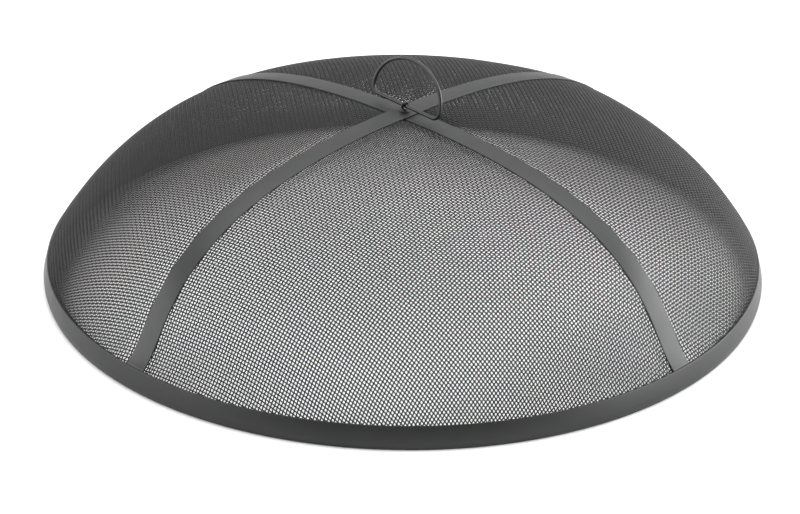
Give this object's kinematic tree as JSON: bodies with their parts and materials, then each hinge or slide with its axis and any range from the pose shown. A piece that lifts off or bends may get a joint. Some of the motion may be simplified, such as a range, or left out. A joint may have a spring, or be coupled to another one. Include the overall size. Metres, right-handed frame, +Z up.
{
  "type": "fire pit spark screen",
  "caption": "Domed round wire-mesh spark screen with a rim band, crossing flat straps and a swinging D-ring lifting handle.",
  "frame": {"origin": "centre of the circle that the rim rests on, in the plane of its underside", "axes": "+Z up through the crossing of the straps; the straps run along the diagonals between X and Y; -Y is the front"},
  "size_m": [0.9144, 0.9144, 0.281],
  "materials": {
    "band_coat": "satin black powder coat",
    "strap_coat": "satin dark grey powder coat",
    "mesh_coat": "satin black coated woven wire",
    "plated_steel": "zinc plated"
  },
  "bodies": {
    "screen": {"rim_band": "band_coat", "inner_clamp_band": "band_coat", "mesh_dome": "mesh_coat", "lower_strap": "strap_coat", "upper_strap": "strap_coat", "eye_washer": "strap_coat", "eye_bolt": "strap_coat", "mesh_washer": "plated_steel", "hex_nut": "plated_steel"},
    "handle": {"handle_ring": "band_coat"}
  },
  "joints": [
    {"name": "handle_swing", "type": "hinge", "parent": "screen", "child": "handle", "pos_m": [0, 0, 0.2223], "axis": [-0.6428, 0.766, 0], "range_deg": [-108, 80]}
  ]
}
